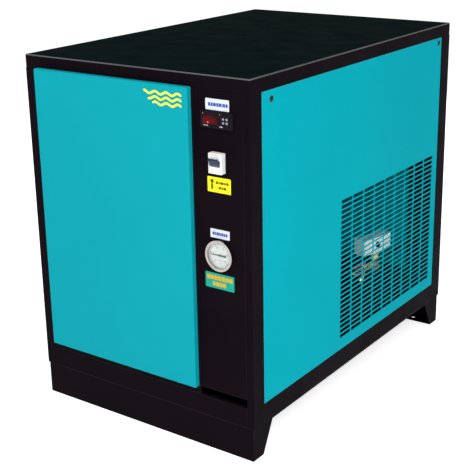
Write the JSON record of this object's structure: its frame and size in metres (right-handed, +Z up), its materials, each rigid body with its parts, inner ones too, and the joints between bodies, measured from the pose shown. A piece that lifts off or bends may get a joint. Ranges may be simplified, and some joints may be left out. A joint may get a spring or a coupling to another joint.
{
  "type": "refrigerated air dryer",
  "caption": "Floor-standing refrigerated compressed-air dryer: sheet cabinet with hinged door, side grilles, control strip, refrigeration circuit, air exchanger and timed drain.",
  "frame": {"origin": "on the floor, at the middle of the rectangle of four anchor holes in the base, which is the middle of the cabinet's footprint", "axes": "+Z is up, -Y is out of the front with the door and controls, +X is to the right of a person who faces the front, on the side of the control strip"},
  "size_m": [0.5824, 0.916, 0.792],
  "materials": {
    "frame_black": "satin powder coat, fine orange peel",
    "cover_black": "satin powder coat, fine orange peel",
    "teal_paint": "satin powder coat",
    "door_teal": "satin powder coat",
    "screw_black": "blackened steel",
    "foam_black": "closed-cell foam",
    "hinge_black": "satin powder coat",
    "catch_plastic": "matt",
    "control_black": "satin powder coat",
    "label_film": "printed film",
    "controller_black": "fine texture",
    "window_red": "smoked red lens",
    "key_grey": "soft keys",
    "breaker_white": "moulded plastic",
    "toggle_navy": "moulded plastic",
    "zinc_steel": "zinc plated",
    "gauge_steel": "brushed stainless steel",
    "dial_white": "printed enamel",
    "pointer_black": "matt",
    "clear_glass": "clear",
    "compressor_black": "gloss enamel",
    "grommet_rubber": "matt",
    "aluminium_fins": "bare fins and tubes",
    "shroud_black": "satin powder coat",
    "guard_wire": "coated wire",
    "motor_grey": "satin enamel",
    "blade_grey": "pressed sheet",
    "insulation_black": "closed-cell insulation",
    "separator_grey": "cast and machined",
    "pipe_steel": "galvanised",
    "receiver_black": "satin enamel",
    "copper": "drawn copper tube",
    "brass": "turned brass",
    "lever_red": "dipped vinyl",
    "timer_white": "moulded plastic",
    "knob_black": "moulded plastic",
    "gland_nylon": "nylon"
  },
  "bodies": {
    "cabinet": {"base_front_plinth": "frame_black", "base_rear_plinth": "frame_black", "base_pan": "frame_black", "corner_posts": "frame_black", "bottom_rails": "frame_black", "top_rails": "frame_black", "door_sill": "frame_black", "centre_stile": "frame_black", "top_cover": "cover_black", "right_side_panel": "teal_paint", "left_side_panel": "teal_paint", "rear_panel": "teal_paint", "panel_screws": "screw_black", "frame_hinges": "hinge_black", "door_catches": "catch_plastic", "control_panel": "control_black", "label_plates": "label_film", "controller_case": "controller_black", "controller_window": "window_red", "breaker_body": "breaker_white", "din_rail": "zinc_steel", "gauge_case": "gauge_steel", "gauge_dial": "dial_white", "gauge_glass": "clear_glass", "compressor": "compressor_black", "compressor_grommets": "grommet_rubber", "compressor_terminal_cover": "catch_plastic", "condenser_coil": "aluminium_fins", "fan_shroud": "shroud_black", "fan_guard": "guard_wire", "fan_motor": "motor_grey", "heat_exchanger": "insulation_black", "exchanger_shelf": "frame_black", "shelf_rails": "frame_black", "water_separator": "separator_grey", "air_pipes": "pipe_steel", "liquid_receiver": "receiver_black", "filter_drier": "copper", "capillary_tube": "copper", "discharge_line": "copper", "liquid_lines": "copper", "suction_line": "insulation_black", "hot_gas_valve": "brass", "drain_line": "copper", "strainer_valve": "brass", "drain_valve": "brass", "drain_timer": "timer_white", "cable_gland": "gland_nylon"},
    "door": {"front_door": "door_teal", "door_seal": "foam_black", "door_hinges": "hinge_black"},
    "key_set": {"key_set": "key_grey"},
    "key_defrost": {"key_defrost": "key_grey"},
    "key_up": {"key_up": "key_grey"},
    "key_down": {"key_down": "key_grey"},
    "breaker_toggle": {"breaker_toggle": "toggle_navy"},
    "gauge_pointer": {"gauge_pointer": "pointer_black"},
    "fan": {"fan_blades": "blade_grey"},
    "strainer_lever": {"strainer_lever": "lever_red"},
    "timer_knob": {"drain_timer_knob": "knob_black"}
  },
  "joints": [
    {"name": "door_hinge", "type": "hinge", "parent": "cabinet", "child": "door", "pos_m": [-0.2589, -0.438, 0.451], "axis": [0, 0, -1], "range_deg": [0, 120]},
    {"name": "key_up_press", "type": "slide", "parent": "cabinet", "child": "key_up", "axis": [0, 1, 0], "range_m": [0, 0.0008], "stiffness_N_per_m": 1500},
    {"name": "key_set_press", "type": "slide", "parent": "cabinet", "child": "key_set", "axis": [0, 1, 0], "range_m": [0, 0.0008], "stiffness_N_per_m": 1500},
    {"name": "key_down_press", "type": "slide", "parent": "cabinet", "child": "key_down", "axis": [0, 1, 0], "range_m": [0, 0.0008], "stiffness_N_per_m": 1500},
    {"name": "key_defrost_press", "type": "slide", "parent": "cabinet", "child": "key_defrost", "axis": [0, 1, 0], "range_m": [0, 0.0008], "stiffness_N_per_m": 1500},
    {"name": "breaker_throw", "type": "hinge", "parent": "cabinet", "child": "breaker_toggle", "pos_m": [0.21525, -0.4425, 0.625], "axis": [1, 0, 0], "range_deg": [0, 90]},
    {"name": "gauge_reading", "type": "hinge", "parent": "cabinet", "child": "gauge_pointer", "pos_m": [0.21525, -0.4355, 0.437], "axis": [0, 1, 0], "range_deg": [-45, 225], "stiffness_Nm_per_rad": 0.001},
    {"name": "fan_spin", "type": "hinge", "parent": "cabinet", "child": "fan", "pos_m": [-0.19, 0.1405, 0.305], "axis": [1, 0, 0], "continuous": true},
    {"name": "strainer_turn", "type": "hinge", "parent": "cabinet", "child": "strainer_lever", "pos_m": [0.193, 0.193, 0.2175], "axis": [0, 0, 1], "range_deg": [0, 90]},
    {"name": "timer_turn", "type": "hinge", "parent": "cabinet", "child": "timer_knob", "pos_m": [0.193, 0.239, 0.258], "axis": [0.9848, -0.1736, 0], "range_deg": [-135, 135]}
  ]
}
